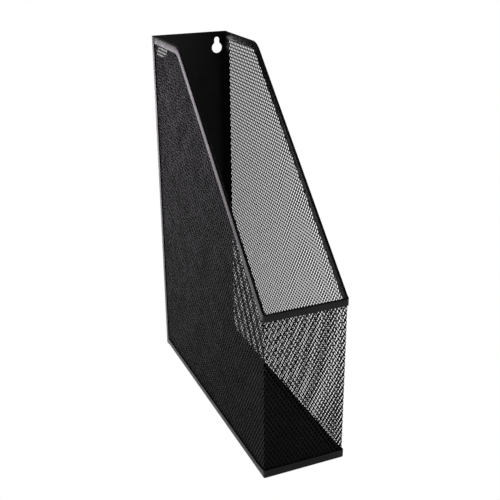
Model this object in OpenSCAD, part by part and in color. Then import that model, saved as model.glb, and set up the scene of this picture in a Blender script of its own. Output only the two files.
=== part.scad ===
// Magazine file holder in black steel: a narrow box of expanded mesh on a folded base tray,
// closed by a tall back plate and edged with a folded rim. The top is open and slopes to a low front.
// X is the width, +Y points to the back plate, Z is up. The origin is the middle of the underside.

/* [Overall] */
// Outside width (mm)
width = 72.5; // [70:0.5:120]
// Outside depth, front to back (mm)
depth = 250; // [200:1:300]
// Height of the back plate (mm)
height = 315; // [280:1:340]
// Height of the low front edge (mm)
front_height = 146; // [100:1:180]
// Length of each side's level top edge, from the back plate to the slope (mm)
top_length = 74; // [50:1:100]
// Outside radius of the bend between the level top edge and the slope (mm)
top_bend_radius = 20; // [12:1:30]
// Outside radius of the two upright front corners (mm)
corner_radius = 3; // [3:0.5:8]

/* [Sheet steel] */
// Thickness of the plain sheet in the back plate, base tray and rim (mm)
sheet = 0.8; // [0.5:0.1:1]
// Thickness of the expanded mesh (mm)
mesh_thickness = 0.8; // [0.5:0.1:1]

/* [Rim] */
// Height of the folded rim on the mesh's top edge (mm)
rim_height = 6; // [4:0.5:9]
// Gap between the rim's rear ends and the back plate's flanges (mm)
rim_gap = 3; // [1:0.5:5]

/* [Back plate] */
// Depth of the flanges down both sides of the back plate, from its rear face (mm)
flange_depth = 6; // [4:0.5:10]
// Outside radius of the bends between the back plate and its flanges (mm)
flange_bend_radius = 1.5; // [1.2:0.1:3]
// Distance between the two keyholes, centre to centre (mm)
keyhole_spacing = 54; // [30:1:54]
// Diameter of a keyhole's round part (mm)
keyhole_diameter = 10; // [8:0.5:10]
// Width of a keyhole's slot (mm)
keyhole_slot = 5; // [3:0.5:6]
// Distance from the top edge down to the middle of a keyhole's round part (mm)
keyhole_drop = 15; // [15:1:30]
// Distance from the middle of the round part up to the end of the slot (mm)
keyhole_rise = 10; // [8:0.5:11]

/* [Base tray] */
// Height of the lip along the sides (mm)
side_lip = 6; // [4:0.5:7]
// Height of the lip across the front (mm)
front_lip = 7.5; // [7.5:0.5:12]
// Radius of the sweep that raises each side lip to the front lip's height (mm)
lip_sweep_radius = 80; // [40:5:120]

/* [Hidden] */
$fn = 96;

// Overshoot of a cutting or bounding shape past what it cuts
past = 1;
front_y = -depth / 2;
rear_y = depth / 2;
// The side parts and the front parts meet where the corner curves end
corner_y = front_y + corner_radius;
rim_depth = 2 * sheet + mesh_thickness;
flange_front_y = rear_y - flange_depth;
// The slope runs from the end of the level top edge down to the rear face of the front rim
slope_top_y = rear_y - top_length;
slope_front_y = front_y + rim_depth;
slope_angle = atan((height - front_height) / (slope_top_y - slope_front_y));
top_bend_y = slope_top_y + top_bend_radius * tan(slope_angle / 2);
top_bend_z = height - top_bend_radius;
// The slot ends in a half circle, and its middle is this far above the round part's middle
slot_end_rise = keyhole_rise - keyhole_slot / 2;
// Where the sweep leaves the side lip, so that it reaches the front lip's height at the corner
lip_rise = front_lip - side_lip;
lip_sweep_y = corner_y + sqrt(pow(lip_sweep_radius, 2) - pow(lip_sweep_radius - lip_rise, 2));

steel_black = [0.10, 0.10, 0.11];
mesh_black = [0.16, 0.16, 0.17];

// Footprint of the holder shrunk by inset, with rounded front corners, reaching back to y = rear
module footprint(inset, rear) {
    half = width / 2 - inset;
    front = front_y + inset;
    radius = corner_radius - inset;
    translate([-half, front + radius]) square([2 * half, rear - front - radius]);
    translate([-half + radius, front]) square([2 * (half - radius), 2 * radius]);
    for (side = [-1, 1]) translate([side * (half - radius), front + radius]) circle(radius);
}

// Footprint of a wall that runs round both sides and the front, between two insets
module wall_footprint(outer, inner) {
    difference() {
        footprint(outer, rear_y);
        footprint(inner, rear_y + past);
    }
}

// Side view of the holder with its upper edges lowered by inset, as y and z
module side_view(inset) {
    shift = inset * tan(slope_angle / 2);
    bend = top_bend_radius - inset;
    polygon([
        [rear_y + past, -past],
        [rear_y + past, height - inset],
        [top_bend_y, height - inset],
        [top_bend_y - bend * sin(slope_angle), top_bend_z + bend * cos(slope_angle)],
        [slope_front_y + shift, front_height - inset],
        [front_y - past, front_height - inset],
        [front_y - past, -past]
    ]);
    translate([top_bend_y, top_bend_z]) circle(bend);
}

// Runs a side view right across the width
module across_width() {
    rotate([90, 0, 90]) linear_extrude(width + 2 * past, center = true) children();
}

// Upright wall between two insets of the footprint, with its upper edges lowered by drop
module wall(outer, inner, drop) {
    intersection() {
        linear_extrude(height) wall_footprint(outer, inner);
        across_width() side_view(drop);
    }
}

// The mesh wall, from the tray's floor to the underside of the rim's fold
module mesh_wall() {
    intersection() {
        wall(sheet, sheet + mesh_thickness, sheet);
        translate([-width, front_y, sheet]) cube([2 * width, depth, height]);
    }
}

// The rim's folded channel, straddling the mesh wall
module rim_wall() {
    difference() {
        wall(0, rim_depth, 0);
        across_width() side_view(rim_height);
        wall(sheet, sheet + mesh_thickness, sheet);
    }
}

// Keeps the part of its children that is the left side, back to y = rear
module left_side(rear) {
    intersection() {
        translate([-width, corner_y, -past]) cube([width, rear - corner_y, height + 2 * past]);
        children();
    }
}

// Keeps the part of its children that is the front, both corners included
module front_side() {
    intersection() {
        translate([-width, front_y - past, -past])
            cube([2 * width, corner_radius + past, height + 2 * past]);
        children();
    }
}

// Footprint of the back plate shrunk by inset, with rounded rear corners
module plate_footprint(inset) {
    half = width / 2 - inset;
    radius = flange_bend_radius - inset;
    rear = rear_y - inset;
    translate([-half, corner_y]) square([2 * half, rear - radius - corner_y]);
    translate([-half + radius, rear - 2 * radius]) square([2 * (half - radius), 2 * radius]);
    for (side = [-1, 1]) translate([side * (half - radius), rear - radius]) circle(radius);
}

// Keyhole cutter at x, running through the back plate
module keyhole(x) {
    translate([x, rear_y + past, height - keyhole_drop]) rotate([90, 0, 0]) {
        cylinder(h = sheet + 2 * past, d = keyhole_diameter);
        translate([0, slot_end_rise, 0]) cylinder(h = sheet + 2 * past, d = keyhole_slot);
        translate([-keyhole_slot / 2, 0, 0]) cube([keyhole_slot, slot_end_rise, sheet + 2 * past]);
    }
}

// Side view of the tray's lip: low along the sides, swept up to the front lip's height
module lip_side_view() {
    rear = flange_front_y;
    difference() {
        translate([front_y - past, 0]) square([rear - front_y + past, front_lip]);
        translate([lip_sweep_y, side_lip]) square([depth, front_lip]);
        translate([lip_sweep_y, side_lip + lip_sweep_radius]) circle(lip_sweep_radius, $fn = 360);
    }
}

module back_plate() {
    color(steel_black) difference() {
        linear_extrude(height) intersection() {
            difference() {
                plate_footprint(0);
                plate_footprint(sheet);
            }
            translate([-width, flange_front_y]) square([2 * width, depth]);
        }
        for (side = [-1, 1]) keyhole(side * keyhole_spacing / 2);
    }
}

module base_tray() {
    color(steel_black) {
        linear_extrude(sheet) {
            footprint(0, flange_front_y);
            intersection() {
                plate_footprint(sheet);
                translate([-width, corner_y]) square([2 * width, depth]);
            }
        }
        intersection() {
            linear_extrude(front_lip) wall_footprint(0, sheet);
            across_width() lip_side_view();
        }
    }
}

module mesh_left() {
    color(mesh_black) left_side(rear_y - flange_bend_radius) mesh_wall();
}

module mesh_front() {
    color(mesh_black) front_side() mesh_wall();
}

module mesh_right() {
    color(mesh_black) mirror([1, 0, 0]) left_side(rear_y - flange_bend_radius) mesh_wall();
}

module rim_left() {
    color(steel_black) left_side(flange_front_y - rim_gap) rim_wall();
}

module rim_front() {
    color(steel_black) front_side() rim_wall();
}

module rim_right() {
    color(steel_black) mirror([1, 0, 0]) left_side(flange_front_y - rim_gap) rim_wall();
}

back_plate();
base_tray();
mesh_left();
mesh_front();
mesh_right();
rim_left();
rim_front();
rim_right();
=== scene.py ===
"""Magazine file holder in black powder-coated steel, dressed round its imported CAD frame.

The mesh is real geometry: one lattice of staggered diamonds that wraps round the left side, the
front and the right side. The rim and the base tray are folded sheet sections swept round the same
walls, and the back plate is the CAD solid with its cut edges eased.
Lengths are in metres. "Along" is the distance along the wall's middle surface from the middle of the
front, positive to the right, and "out" is the distance outwards from that surface.
"""

import math

import bmesh
import bpy
from mathutils import Matrix, Vector


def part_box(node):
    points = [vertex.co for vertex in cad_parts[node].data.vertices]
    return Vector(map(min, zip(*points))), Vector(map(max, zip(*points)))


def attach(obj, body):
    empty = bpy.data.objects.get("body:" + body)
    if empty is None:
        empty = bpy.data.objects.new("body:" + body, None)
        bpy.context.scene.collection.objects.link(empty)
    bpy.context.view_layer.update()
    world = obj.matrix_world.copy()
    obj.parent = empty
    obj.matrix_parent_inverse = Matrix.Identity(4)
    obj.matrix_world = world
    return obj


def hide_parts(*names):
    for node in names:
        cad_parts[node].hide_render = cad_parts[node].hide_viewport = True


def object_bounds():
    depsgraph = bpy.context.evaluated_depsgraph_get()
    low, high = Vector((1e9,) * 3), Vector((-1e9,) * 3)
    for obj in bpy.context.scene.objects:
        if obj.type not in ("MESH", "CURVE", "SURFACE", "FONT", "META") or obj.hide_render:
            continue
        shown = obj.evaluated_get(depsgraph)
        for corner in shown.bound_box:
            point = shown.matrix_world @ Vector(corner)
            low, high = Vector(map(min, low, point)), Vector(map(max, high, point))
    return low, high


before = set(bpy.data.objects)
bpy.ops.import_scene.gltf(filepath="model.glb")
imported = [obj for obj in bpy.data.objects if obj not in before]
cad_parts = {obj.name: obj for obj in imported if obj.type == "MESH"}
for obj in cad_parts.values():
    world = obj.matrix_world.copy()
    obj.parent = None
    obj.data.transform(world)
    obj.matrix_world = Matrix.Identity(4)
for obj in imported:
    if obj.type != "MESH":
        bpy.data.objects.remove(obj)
CAD_LOW, CAD_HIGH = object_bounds()

MM = 0.001

# Sheet work
SHEET = 0.8 * MM
CUT_EDGE_RADIUS = 0.25 * MM
# Radius of the two upright corners, on the wall's middle surface
WALL_CORNER_RADIUS = 1.3 * MM
TRAY_CORNER_RADIUS = 0.5 * MM

# Rim
RIM_HEIGHT = 6 * MM
RIM_EDGE_RADIUS = 0.45 * MM
RIM_CORNER_FILLET = 5 * MM
TOP_LENGTH = 74 * MM
TOP_BEND_RADIUS = 20 * MM

# Base tray
SIDE_LIP = 6 * MM
FRONT_LIP = 7.5 * MM
LIP_SWEEP_LENGTH = 16 * MM
TRAY_BEND_RADIUS = 1.2 * MM
TRAY_INNER_BEND_RADIUS = TRAY_BEND_RADIUS / 3
# How far inside the wall's middle surface the swept lip ends and the flat floor begins
TRAY_FLOOR_STRIP = 0.7 * TRAY_CORNER_RADIUS

# Expanded mesh
DIAMOND_WIDTH = 3.7 * MM
DIAMOND_HEIGHT = 6.07 * MM
BOND_HALF_WIDTH = 0.48 * MM
BOND_HALF_HEIGHT = 0.93 * MM
BOND_FLAT = 0.35 * MM
STRAND_THICKNESS = 0.46 * MM
# Gap between the mesh's upper edge and the top of the rim
MESH_DROP = 1.2 * MM
# Width of the plain strip down each side's rear edge
LEFT_SELVAGE = 7.5 * MM
RIGHT_SELVAGE = 10.5 * MM

# Number of straight steps in each curve
EDGE_STEPS = 5
UPRIGHT_CORNER_STEPS = 6
RIM_FILLET_STEPS = 12
TOP_BEND_STEPS = 16
TRAY_CORNER_STEPS = 8
LIP_SWEEP_STEPS = 8
MESH_BEND_STEPS = 5
MESH_CORNER_STEPS = 3

# Points closer than this are merged, and points this close to a cut lie on it
SAME_POINT = 1e-7
ON_THE_CUT = 1e-8
# Edges that bend more than this are sharp
SHARP_ANGLE = math.radians(35)

# Back plate's modifiers
PLATE_SAME_POINT = 1e-6
PLATE_FLAT_ANGLE = math.radians(0.5)
PLATE_BEVEL_ANGLE = math.radians(50)
PLATE_BEVEL_SEGMENTS = 2

# Powder coats: colour, roughness, specular level, grain per metre and depth of the grain
SHEET_COAT = ((0.0045, 0.0045, 0.0048), 0.30, 0.27, 1100, 0.12 * MM)
MESH_COAT = ((0.0050, 0.0050, 0.0053), 0.50, 0.10, 1500, 0.08 * MM)
GRAIN_STRENGTH = 0.35

# Changes of shade and gloss per metre. Each runs between two noise values, given with the colour's
# strength there or with what is added to the roughness there
SHADE_SCALE = 38
SHADE_FROM = (0.35, 0.75)
SHADE_TO = (0.68, 1.35)
GLOSS_SCALE = 70
GLOSS_FROM = (0.3, -0.05)
GLOSS_TO = (0.7, 0.07)

# Floor and room: what lights the object, and what the camera sees
FLOOR_HALF = 12.0
FLOOR_WHITE = 0.86
FLOOR_ROUGHNESS = 0.9
FLOOR_SPECULAR = 0.1
FLOOR_FROM_ROOM = 0.22
FLOOR_SEEN = 1.0
SKY_FROM_ROOM = 0.12
SKY_SEEN = 1.0
WHITE = (1, 1, 1, 1)
WHITE_LIGHT = (1, 1, 1)
FAINT_PINK = (1.0, 0.91, 1.0)

# Camera
CAMERA_AZIMUTH = math.radians(-23.043)
CAMERA_ELEVATION = math.radians(22.554)
CAMERA_ROLL = math.radians(-0.455)
CAMERA_DISTANCE = 738.02 * MM
CAMERA_RIGHT = 5.84 * MM
CAMERA_UP = -11.42 * MM
# Blender takes the focal length and the sensor's width in millimetres
CAMERA_LENS = 61.051
CAMERA_SENSOR = 36

# Places that the frame gives
HALF_WIDTH = CAD_HIGH.x
FRONT_Y = CAD_LOW.y
REAR_Y = CAD_HIGH.y
TOP_Z = CAD_HIGH.z
RIM_LEFT_LOW, RIM_LEFT_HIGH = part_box("rim_left")
RIM_DEPTH = RIM_LEFT_HIGH.x - RIM_LEFT_LOW.x
RIM_REAR_Y = RIM_LEFT_HIGH.y
FRONT_TOP_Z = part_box("rim_front")[0].z + RIM_HEIGHT
MESH_REAR_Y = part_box("mesh_left")[1].y
CORNER_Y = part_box("mesh_left")[0].y
LIP_REAR_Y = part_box("back_plate")[0].y
TRAY_REAR_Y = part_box("base_tray")[1].y

# The wall's middle surface is this far inside the holder's outline
WALL_INSET = RIM_DEPTH / 2

# The slope of the side's top edge
SLOPE_TOP_Y = REAR_Y - TOP_LENGTH
SLOPE_FRONT_Y = FRONT_Y + RIM_DEPTH
SLOPE_ANGLE = math.atan2(TOP_Z - FRONT_TOP_Z, SLOPE_TOP_Y - SLOPE_FRONT_Y)


class Wall:
    """A middle surface that runs along the front, round two upright corners and back along the sides."""

    def __init__(self, corner_radius):
        self.radius = corner_radius
        self.centre_y = FRONT_Y + WALL_INSET + corner_radius
        self.front_half = HALF_WIDTH - WALL_INSET - corner_radius
        self.corner_length = corner_radius * math.pi / 2
        self.side_start = self.front_half + self.corner_length

    def along_at(self, y):
        """Distance along the surface of a place on its straight right side."""
        return self.side_start + y - self.centre_y

    def point(self, along, z, out):
        """The point at that distance along, height and distance outwards."""
        past_front = abs(along) - self.front_half
        if past_front <= 0:
            return Vector((along, self.centre_y - self.radius - out, z))
        radius = self.radius + out
        turn = min(past_front / self.radius, math.pi / 2)
        x = self.front_half + radius * math.sin(turn)
        y = self.centre_y - radius * math.cos(turn) + max(0, past_front - self.corner_length)
        return Vector((math.copysign(x, along), y, z))


MESH_WALL = Wall(WALL_CORNER_RADIUS)
TRAY_WALL = Wall(TRAY_CORNER_RADIUS)

# Where a side's parts meet the front's parts
SIDE_SPLIT = MESH_WALL.along_at(CORNER_Y)
# The middle of the bend between the slope and the level top edge
TOP_BEND_ALONG = MESH_WALL.along_at(SLOPE_TOP_Y) + TOP_BEND_RADIUS * math.tan(SLOPE_ANGLE / 2)
TOP_BEND_Z = TOP_Z - TOP_BEND_RADIUS


def new_object(name, verts, faces):
    """A mesh object with outward normals, whose faces are smooth up to its sharp edges."""
    mesh = bpy.data.meshes.new(name)
    mesh.from_pydata(verts, [], faces)
    bm = bmesh.new()
    bm.from_mesh(mesh)
    bmesh.ops.remove_doubles(bm, verts=bm.verts, dist=SAME_POINT)
    bmesh.ops.dissolve_degenerate(bm, edges=bm.edges, dist=SAME_POINT)
    bmesh.ops.recalc_face_normals(bm, faces=bm.faces)
    bm.to_mesh(mesh)
    bm.free()
    mesh.shade_smooth()
    mesh.set_sharp_from_angle(angle=SHARP_ANGLE)
    piece = bpy.data.objects.new(name, mesh)
    bpy.context.scene.collection.objects.link(piece)
    return piece


def round_corners(corners):
    """A closed outline from corners given as (u, v, radius), each rounded to its radius."""
    outline = []
    for i, (u, v, radius) in enumerate(corners):
        here = Vector((u, v))
        before = (Vector(corners[i - 1][:2]) - here).normalized()
        after = (Vector(corners[(i + 1) % len(corners)][:2]) - here).normalized()
        if radius == 0:
            outline.append(here)
            continue
        half = before.angle(after) / 2
        middle = here + (before + after).normalized() * radius / math.sin(half)
        start = here + before * radius / math.tan(half) - middle
        end = here + after * radius / math.tan(half) - middle
        sweep_angle = start.angle_signed(end)
        for step in range(EDGE_STEPS + 1):
            outline.append(middle + Matrix.Rotation(-sweep_angle * step / EDGE_STEPS, 2) @ start)
    return outline


def band(ring, count, i, j):
    """The face between points i and j of a ring and of the next ring, each of count points."""
    here = ring * count
    after = here + count
    return [here + i, here + j, after + j, after + i]


def sweep(name, rings):
    """A solid through closed rings of the same number of points, with both ends capped."""
    count = len(rings[0])
    verts = [point for ring in rings for point in ring]
    faces = [list(range(count)), list(range(len(verts) - count, len(verts)))]
    for r in range(len(rings) - 1):
        for i in range(count):
            faces.append(band(r, count, i, (i + 1) % count))
    return new_object(name, verts, faces)


# ---------------------------------------------------------------- rim


def rim_line():
    """The rim's top edge from the middle of the front to its right rear end, as (along, z, heading)."""
    foot = MESH_WALL.along_at(SLOPE_FRONT_Y)
    fillet_start = foot - RIM_CORNER_FILLET * math.tan(SLOPE_ANGLE / 2)
    points = [(0.0, FRONT_TOP_Z, 0.0)]
    for step in range(UPRIGHT_CORNER_STEPS + 1):
        along = MESH_WALL.front_half + MESH_WALL.corner_length * step / UPRIGHT_CORNER_STEPS
        if along < fillet_start:
            points.append((along, FRONT_TOP_Z, 0.0))
    for step in range(RIM_FILLET_STEPS + 1):
        angle = SLOPE_ANGLE * step / RIM_FILLET_STEPS
        along = fillet_start + RIM_CORNER_FILLET * math.sin(angle)
        z = FRONT_TOP_Z + RIM_CORNER_FILLET * (1 - math.cos(angle))
        points.append((along, z, angle))
    for step in range(TOP_BEND_STEPS + 1):
        angle = SLOPE_ANGLE * (1 - step / TOP_BEND_STEPS)
        along = TOP_BEND_ALONG - TOP_BEND_RADIUS * math.sin(angle)
        z = TOP_Z - TOP_BEND_RADIUS * (1 - math.cos(angle))
        points.append((along, z, angle))
    points.append((MESH_WALL.along_at(RIM_REAR_Y), TOP_Z, 0.0))
    return points


def rim_section():
    """The folded channel that straddles the mesh, as (out, depth below the top edge)."""
    outer = WALL_INSET
    inner = WALL_INSET - SHEET
    inside_radius = CUT_EDGE_RADIUS / 2
    return round_corners([
        (outer, RIM_HEIGHT, CUT_EDGE_RADIUS),
        (outer, 0, RIM_EDGE_RADIUS),
        (-outer, 0, RIM_EDGE_RADIUS),
        (-outer, RIM_HEIGHT, CUT_EDGE_RADIUS),
        (-inner, RIM_HEIGHT, inside_radius),
        (-inner, SHEET, inside_radius),
        (inner, SHEET, inside_radius),
        (inner, RIM_HEIGHT, inside_radius),
    ])


def rim_ring(along, z, heading, side):
    """The channel's section at one place of the rim's line, on the right (side 1) or left (-1)."""
    ring = []
    for out, depth in rim_section():
        down_along = along + depth * math.sin(heading)
        down_z = z - depth * math.cos(heading)
        ring.append(MESH_WALL.point(side * down_along, down_z, out))
    return ring


def make_rims():
    """The rim's three lengths, by the name of the CAD node that each stands for."""
    line = rim_line()
    front = [point for point in line if point[0] <= SIDE_SPLIT]
    rear = [point for point in line if point[0] >= front[-1][0]]
    left_half = [rim_ring(*point, -1) for point in reversed(front[1:])]
    right_half = [rim_ring(*point, 1) for point in front]
    return {
        "rim_front": sweep("rim_channel_front", left_half + right_half),
        "rim_left": sweep("rim_channel_left", [rim_ring(*point, -1) for point in rear]),
        "rim_right": sweep("rim_channel_right", [rim_ring(*point, 1) for point in rear]),
    }


# ---------------------------------------------------------------- base tray


def tray_section(lip):
    """Lip and edge of the floor as (out, z), for a lip of that height."""
    outer = WALL_INSET
    inner = WALL_INSET - SHEET
    return round_corners([
        (-TRAY_FLOOR_STRIP, 0, 0),
        (outer, 0, TRAY_BEND_RADIUS),
        (outer, lip, CUT_EDGE_RADIUS),
        (inner, lip, CUT_EDGE_RADIUS),
        (inner, SHEET, TRAY_INNER_BEND_RADIUS),
        (-TRAY_FLOOR_STRIP, SHEET, 0),
    ])


def lip_height(along):
    """Height of the lip: low along the sides and swept up to the front lip at the corner."""
    behind = max(0, min(1, (along - TRAY_WALL.side_start) / LIP_SWEEP_LENGTH))
    return FRONT_LIP - (FRONT_LIP - SIDE_LIP) * (1 - (1 - behind) ** 2)


def tray_rings():
    """The lip's sections from the left rear end round to the right rear end."""
    half = [0.0]
    for step in range(TRAY_CORNER_STEPS + 1):
        half.append(TRAY_WALL.front_half + TRAY_WALL.corner_length * step / TRAY_CORNER_STEPS)
    for step in range(1, LIP_SWEEP_STEPS + 1):
        half.append(TRAY_WALL.side_start + LIP_SWEEP_LENGTH * step / LIP_SWEEP_STEPS)
    half.append(TRAY_WALL.along_at(LIP_REAR_Y))
    rings = []
    for along in [-along for along in reversed(half[1:])] + half:
        section = tray_section(lip_height(abs(along)))
        rings.append([TRAY_WALL.point(along, z, out) for out, z in section])
    # Behind the lip only the flat floor goes on, between the back plate's flanges
    tail = [(min(out, WALL_INSET - SHEET), min(z, SHEET)) for out, z in tray_section(SIDE_LIP)]
    for y in (LIP_REAR_Y, TRAY_REAR_Y):
        along = TRAY_WALL.along_at(y)
        rings.insert(0, [TRAY_WALL.point(-along, z, out) for out, z in tail])
        rings.append([TRAY_WALL.point(along, z, out) for out, z in tail])
    return rings


def make_tray():
    """The folded tray: the swept lip, with flat faces for the floor's two sides and its rear edge."""
    rings = tray_rings()
    count = len(rings[0])
    verts = [point for ring in rings for point in ring]
    faces = []
    for r in range(len(rings) - 1):
        for i in range(count - 1):
            faces.append(band(r, count, i, i + 1))
    faces.append([r * count for r in range(len(rings))])
    faces.append([r * count + count - 1 for r in range(len(rings))])
    last_ring = len(verts) - count
    faces.append(list(range(count)) + list(range(len(verts) - 1, last_ring - 1, -1)))
    return new_object("folded_tray", verts, faces)


# ---------------------------------------------------------------- expanded mesh


def flat_lattice(along_from, along_to, z_from, z_to):
    """The strands as flat faces, with x along and y up: a bond at each crossing, joined by strands."""
    bm = bmesh.new()
    outline = [
        (0, BOND_HALF_HEIGHT),
        (-BOND_HALF_WIDTH, BOND_FLAT),
        (-BOND_HALF_WIDTH, -BOND_FLAT),
        (0, -BOND_HALF_HEIGHT),
        (BOND_HALF_WIDTH, -BOND_FLAT),
        (BOND_HALF_WIDTH, BOND_FLAT),
    ]
    top, left_top, left_low, low, right_low, right_top = range(len(outline))
    row_height = DIAMOND_HEIGHT / 2
    first_column = math.floor(along_from / DIAMOND_WIDTH) - 1
    last_column = math.ceil(along_to / DIAMOND_WIDTH) + 1
    first_row = math.floor(z_from / row_height) - 1
    last_row = math.ceil(z_to / row_height) + 1
    bonds = {}
    for row in range(first_row, last_row + 1):
        for column in range(first_column, last_column + 1):
            x = (column + row % 2 / 2) * DIAMOND_WIDTH
            y = row * row_height
            bonds[column, row] = [bm.verts.new((x + dx, y + dy, 0)) for dx, dy in outline]
    for (column, row), bond in bonds.items():
        bm.faces.new(bond)
        upper_right = bonds.get((column + row % 2, row + 1))
        upper_left = bonds.get((column + row % 2 - 1, row + 1))
        if upper_right:
            bm.faces.new((bond[top], bond[right_top], upper_right[low], upper_right[left_low]))
        if upper_left:
            bm.faces.new((bond[left_top], bond[top], upper_left[right_low], upper_left[low]))
    return bm


def cut(bm, along, z, normal_along, normal_z, keep_all=False):
    """Cuts the flat lattice along a line and drops what lies on the side the normal points to."""
    bmesh.ops.bisect_plane(
        bm,
        geom=bm.verts[:] + bm.edges[:] + bm.faces[:],
        dist=ON_THE_CUT,
        plane_co=(along, z, 0),
        plane_no=(normal_along, normal_z, 0),
        clear_outer=not keep_all,
    )


def thick_wall(name, bm):
    """Wraps a flat bmesh round the wall and gives it the strands' thickness."""
    bm.verts.index_update()
    half = STRAND_THICKNESS / 2
    count = len(bm.verts)
    verts = [MESH_WALL.point(v.co.x, v.co.y, half) for v in bm.verts]
    verts += [MESH_WALL.point(v.co.x, v.co.y, -half) for v in bm.verts]
    faces = []
    for face in bm.faces:
        ring = [v.index for v in face.verts]
        faces.append(ring)
        faces.append([i + count for i in reversed(ring)])
    for edge in bm.edges:
        if edge.is_boundary:
            loop = edge.link_loops[0]
            a = loop.vert.index
            b = loop.link_loop_next.vert.index
            faces.append([b, a, a + count, b + count])
    bm.free()
    mesh = bpy.data.meshes.new(name)
    mesh.from_pydata(verts, [], faces)
    mesh.validate()
    piece = bpy.data.objects.new(name, mesh)
    bpy.context.scene.collection.objects.link(piece)
    return piece


def add_selvage(bm, side, width, z_low, z_high):
    """A plain uncut strip down the mesh's rear edge."""
    rear = side * MESH_WALL.along_at(MESH_REAR_Y)
    fore = side * MESH_WALL.along_at(MESH_REAR_Y - width)
    a, b = sorted((rear, fore))
    corners = [(a, z_low), (b, z_low), (b, z_high), (a, z_high)]
    bm.faces.new([bm.verts.new((x, y, 0)) for x, y in corners])


def make_side_mesh(name, side, selvage):
    """One side's mesh, from the front corner to its rear edge and up to the sloping rim."""
    z_low = SHEET
    z_high = TOP_Z - MESH_DROP
    ends = sorted((side * SIDE_SPLIT, side * MESH_WALL.along_at(MESH_REAR_Y)))
    bm = flat_lattice(*ends, z_low, z_high)
    cut(bm, 0, z_low, 0, -1)
    cut(bm, side * SIDE_SPLIT, 0, -side, 0)
    cut(bm, side * MESH_WALL.along_at(MESH_REAR_Y - selvage), 0, side, 0)
    radius = TOP_BEND_RADIUS - MESH_DROP
    for step in range(MESH_BEND_STEPS + 1):
        angle = SLOPE_ANGLE * step / MESH_BEND_STEPS
        along = TOP_BEND_ALONG - radius * math.sin(angle)
        z = TOP_BEND_Z + radius * math.cos(angle)
        cut(bm, side * along, z, -side * math.sin(angle), math.cos(angle))
    add_selvage(bm, side, selvage, z_low, z_high)
    return thick_wall(name, bm)


def make_front_mesh():
    """The front's mesh, with extra cuts so that it bends round the corners."""
    z_low = SHEET
    z_high = FRONT_TOP_Z - MESH_DROP
    bm = flat_lattice(-SIDE_SPLIT, SIDE_SPLIT, z_low, z_high)
    cut(bm, 0, z_low, 0, -1)
    cut(bm, 0, z_high, 0, 1)
    for side in (-1, 1):
        cut(bm, side * SIDE_SPLIT, 0, side, 0)
        for step in range(MESH_CORNER_STEPS + 1):
            along = MESH_WALL.front_half + MESH_WALL.corner_length * step / MESH_CORNER_STEPS
            cut(bm, side * along, 0, side, 0, keep_all=True)
    return thick_wall("expanded_mesh_front", bm)


# ---------------------------------------------------------------- materials


def powder_coat(name, colour, roughness, specular, grain, grain_depth):
    """Satin black powder coat: fine orange peel and slight changes of gloss and shade."""
    material = bpy.data.materials.new(name)
    material.use_nodes = True
    nodes = material.node_tree.nodes
    links = material.node_tree.links
    shader = nodes["Principled BSDF"]
    shader.inputs["Specular IOR Level"].default_value = specular
    shader.inputs["Metallic"].default_value = 0.0

    place = nodes.new("ShaderNodeTexCoord")

    def noise(scale, detail):
        """Noise over the piece's own coordinates, with scale cells per metre."""
        texture = nodes.new("ShaderNodeTexNoise")
        texture.inputs["Scale"].default_value = scale
        texture.inputs["Detail"].default_value = detail
        links.new(place.outputs["Object"], texture.inputs["Vector"])
        return texture.outputs["Fac"]

    shade = nodes.new("ShaderNodeValToRGB")
    for stop, (position, strength) in zip(shade.color_ramp.elements, (SHADE_FROM, SHADE_TO)):
        stop.position = position
        stop.color = [strength * c for c in colour] + [1]
    links.new(noise(SHADE_SCALE, detail=5), shade.inputs["Fac"])
    links.new(shade.outputs["Color"], shader.inputs["Base Color"])

    gloss = nodes.new("ShaderNodeMapRange")
    for end, (noise_value, change) in (("Min", GLOSS_FROM), ("Max", GLOSS_TO)):
        gloss.inputs["From " + end].default_value = noise_value
        gloss.inputs["To " + end].default_value = roughness + change
    links.new(noise(GLOSS_SCALE, detail=4), gloss.inputs["Value"])
    links.new(gloss.outputs["Result"], shader.inputs["Roughness"])

    peel = nodes.new("ShaderNodeBump")
    peel.inputs["Strength"].default_value = GRAIN_STRENGTH
    peel.inputs["Distance"].default_value = grain_depth
    links.new(noise(grain, detail=3), peel.inputs["Height"])
    links.new(peel.outputs["Normal"], shader.inputs["Normal"])
    return material


def split_by_sight(tree, lit_by, seen):
    """Mixes two shader outputs: the object is lit by the first and the camera sees the second."""
    path = tree.nodes.new("ShaderNodeLightPath")
    mix = tree.nodes.new("ShaderNodeMixShader")
    tree.links.new(path.outputs["Is Camera Ray"], mix.inputs[0])
    tree.links.new(lit_by, mix.inputs[1])
    tree.links.new(seen, mix.inputs[2])
    return mix.outputs["Shader"]


def floor_material():
    """A white floor, lit evenly where the camera sees it."""
    material = bpy.data.materials.new("floor_white")
    material.use_nodes = True
    tree = material.node_tree
    shader = tree.nodes["Principled BSDF"]
    shader.inputs["Base Color"].default_value = (FLOOR_WHITE, FLOOR_WHITE, FLOOR_WHITE, 1)
    shader.inputs["Roughness"].default_value = FLOOR_ROUGHNESS
    shader.inputs["Specular IOR Level"].default_value = FLOOR_SPECULAR
    shader.inputs["Emission Color"].default_value = WHITE
    shader.inputs["Emission Strength"].default_value = FLOOR_FROM_ROOM
    white = tree.nodes.new("ShaderNodeEmission")
    white.inputs["Strength"].default_value = FLOOR_SEEN
    surface = split_by_sight(tree, shader.outputs["BSDF"], white.outputs["Emission"])
    tree.links.new(surface, tree.nodes["Material Output"].inputs["Surface"])
    return material


# ---------------------------------------------------------------- the holder


def give(piece, material):
    """Gives a piece its only material."""
    piece.data.materials.clear()
    piece.data.materials.append(material)


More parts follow.
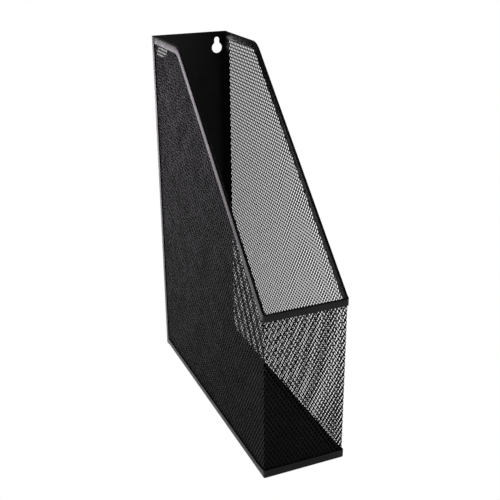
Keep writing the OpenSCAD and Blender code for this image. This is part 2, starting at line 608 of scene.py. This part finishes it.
def make_stand_ins(sheet_coat, mesh_coat):
    """The rim, tray and mesh pieces, each in place of its CAD node."""
    pieces = make_rims()
    pieces["base_tray"] = make_tray()
    pieces["mesh_left"] = make_side_mesh("expanded_mesh_left", -1, LEFT_SELVAGE)
    pieces["mesh_right"] = make_side_mesh("expanded_mesh_right", 1, RIGHT_SELVAGE)
    pieces["mesh_front"] = make_front_mesh()
    for node, piece in pieces.items():
        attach(piece, "root")
        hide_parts(node)
        if node.startswith("mesh"):
            give(piece, mesh_coat)
        else:
            give(piece, sheet_coat)


def dress_back_plate(sheet_coat):
    """Joins the CAD plate's flat faces and eases its cut edges."""
    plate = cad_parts["back_plate"]
    weld = plate.modifiers.new("weld", "WELD")
    weld.merge_threshold = PLATE_SAME_POINT
    flatten = plate.modifiers.new("join_flat_faces", "DECIMATE")
    flatten.decimate_type = "DISSOLVE"
    flatten.angle_limit = PLATE_FLAT_ANGLE
    bevel = plate.modifiers.new("cut_edges", "BEVEL")
    bevel.width = CUT_EDGE_RADIUS
    bevel.segments = PLATE_BEVEL_SEGMENTS
    bevel.limit_method = "ANGLE"
    bevel.angle_limit = PLATE_BEVEL_ANGLE
    plate.modifiers.new("even_shading", "WEIGHTED_NORMAL")
    give(plate, sheet_coat)


# ---------------------------------------------------------------- studio


def make_floor():
    """A level square floor that the holder stands on."""
    half = FLOOR_HALF
    corners = [(-half, -half, 0), (half, -half, 0), (half, half, 0), (-half, half, 0)]
    floor = new_object("floor", corners, [[0, 1, 2, 3]])
    floor.location.z = CAD_LOW.z
    floor.data.materials.append(floor_material())


def make_world():
    """A dim even room that shows white behind the object."""
    world = bpy.data.worlds.new("studio")
    world.use_nodes = True
    tree = world.node_tree
    room = tree.nodes["Background"]
    seen = tree.nodes.new("ShaderNodeBackground")
    for sky, strength in ((room, SKY_FROM_ROOM), (seen, SKY_SEEN)):
        sky.inputs["Color"].default_value = WHITE
        sky.inputs["Strength"].default_value = strength
    surface = split_by_sight(tree, room.outputs["Background"], seen.outputs["Background"])
    tree.links.new(surface, tree.nodes["World Output"].inputs["Surface"])
    bpy.context.scene.world = world


def softbox(name, place, target, size, watts, colour=WHITE_LIGHT):
    """A square soft light that is seen neither by the camera nor in reflections."""
    data = bpy.data.lights.new(name, "AREA")
    data.shape = "RECTANGLE"
    data.size = size
    data.size_y = size
    data.energy = watts
    data.color = colour
    light = bpy.data.objects.new(name, data)
    light.location = place
    light.rotation_euler = (Vector(target) - Vector(place)).to_track_quat("-Z", "Y").to_euler()
    light.visible_camera = False
    light.visible_glossy = False
    bpy.context.scene.collection.objects.link(light)


def floor_softbox(name, x, y, z, size, watts, colour=WHITE_LIGHT):
    """A softbox that looks straight down and brightens the floor that the black coat reflects."""
    softbox(name, (x, y, z), (x, y, 0), size, watts, colour)


def make_camera():
    """The camera at the photo's angle, shifted across its view to place the holder in the picture."""
    back = Vector((
        math.sin(CAMERA_AZIMUTH) * math.cos(CAMERA_ELEVATION),
        -math.cos(CAMERA_AZIMUTH) * math.cos(CAMERA_ELEVATION),
        math.sin(CAMERA_ELEVATION),
    ))
    right = Vector((math.cos(CAMERA_AZIMUTH), math.sin(CAMERA_AZIMUTH), 0))
    up = back.cross(right)
    centre = Vector((0, 0, (CAD_LOW.z + CAD_HIGH.z) / 2))
    place = centre + back * CAMERA_DISTANCE + right * CAMERA_RIGHT + up * CAMERA_UP
    turn = Matrix((right, up, back)).transposed() @ Matrix.Rotation(CAMERA_ROLL, 3, "Z")
    data = bpy.data.cameras.new("camera")
    data.sensor_width = CAMERA_SENSOR
    data.lens = CAMERA_LENS
    camera = bpy.data.objects.new("camera", data)
    camera.matrix_world = Matrix.Translation(place) @ turn.to_4x4()
    bpy.context.scene.collection.objects.link(camera)
    bpy.context.scene.camera = camera


# ---------------------------------------------------------------- the scene

sheet_paint = powder_coat("powder_coat_sheet", *SHEET_COAT)
mesh_paint = powder_coat("powder_coat_mesh", *MESH_COAT)
make_stand_ins(sheet_paint, mesh_paint)
dress_back_plate(sheet_paint)

make_floor()
make_world()
floor_softbox("left_rear_softbox", x=-0.62, y=1.40, z=1.0, size=1.0, watts=43, colour=FAINT_PINK)
softbox("left_softbox", place=(-1.9, -0.4, 1.9), target=(0, 0, 0), size=1.8, watts=10)
floor_softbox("front_softbox", x=0.9, y=-1.0, z=1.2, size=1.0, watts=4)
floor_softbox("right_rear_softbox", x=0.8, y=0.8, z=0.9, size=0.9, watts=10)
make_camera()
bpy.context.scene.view_settings.view_transform = "Standard"
